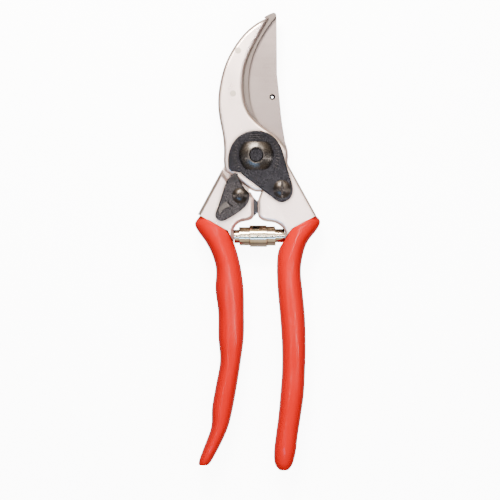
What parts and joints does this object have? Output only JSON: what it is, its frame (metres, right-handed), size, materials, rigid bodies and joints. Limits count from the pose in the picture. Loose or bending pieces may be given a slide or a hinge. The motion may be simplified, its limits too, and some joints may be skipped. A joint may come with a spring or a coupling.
{
  "type": "pruning shears",
  "caption": "Hand pruning shears with a hooked anvil blade, a curved cutting blade, red vinyl grips, a barrel-shaped return spring and a thumb catch, closed and latched.",
  "frame": {"origin": "on the pivot axis, at the flush back face of the pivot bolt and nut on which the tool rests", "axes": "+Z along the pivot axis towards the catch side, +Y towards the blade tips, +X towards the grip that is rigid with the anvil blade"},
  "size_m": [0.0588, 0.2139, 0.0213],
  "materials": {
    "cast_aluminium": "satin forged surface with softly rounded edges",
    "vinyl": "glossy dipped vinyl, slightly soft",
    "anvil_steel": "ground, grain along the edge",
    "blade_steel": "satin ground plate",
    "rivet_steel": "ground flush",
    "bronze": "plain turned bushing",
    "burnished_steel": "dark burnished, semi-gloss",
    "plated_spring": "bright plated strip",
    "buffer_rubber": "matt moulded rubber"
  },
  "bodies": {
    "anvil_side": {"anvil_handle": "cast_aluminium", "anvil_grip": "vinyl", "anvil_blade": "anvil_steel", "anvil_rivets": "rivet_steel", "pivot_bushing": "bronze", "catch_plate": "burnished_steel", "catch_plate_screw": "burnished_steel", "volute_spring": "plated_spring"},
    "blade_side": {"blade_handle": "cast_aluminium", "blade_grip": "vinyl", "cutting_blade": "blade_steel", "blade_rivets": "rivet_steel", "pivot_bolt": "burnished_steel", "pivot_nut": "burnished_steel", "thrust_washer": "rivet_steel", "lock_segment": "burnished_steel", "segment_screw": "burnished_steel", "rubber_buffer": "buffer_rubber", "catch_screw": "burnished_steel", "catch_washer": "rivet_steel"},
    "thumb_lever": {"thumb_catch": "burnished_steel"}
  },
  "joints": [
    {"name": "handle_pivot", "type": "hinge", "parent": "anvil_side", "child": "blade_side", "pos_m": [0, 0, 0.0095], "axis": [0, 0, -1], "range_deg": [0, 28], "deforming": ["volute_spring"]},
    {"name": "catch_pivot", "type": "hinge", "parent": "blade_side", "child": "thumb_lever", "pos_m": [-0.0075, -0.0189, 0.018], "axis": [0, 0, 1], "range_deg": [0, 15]}
  ]
}
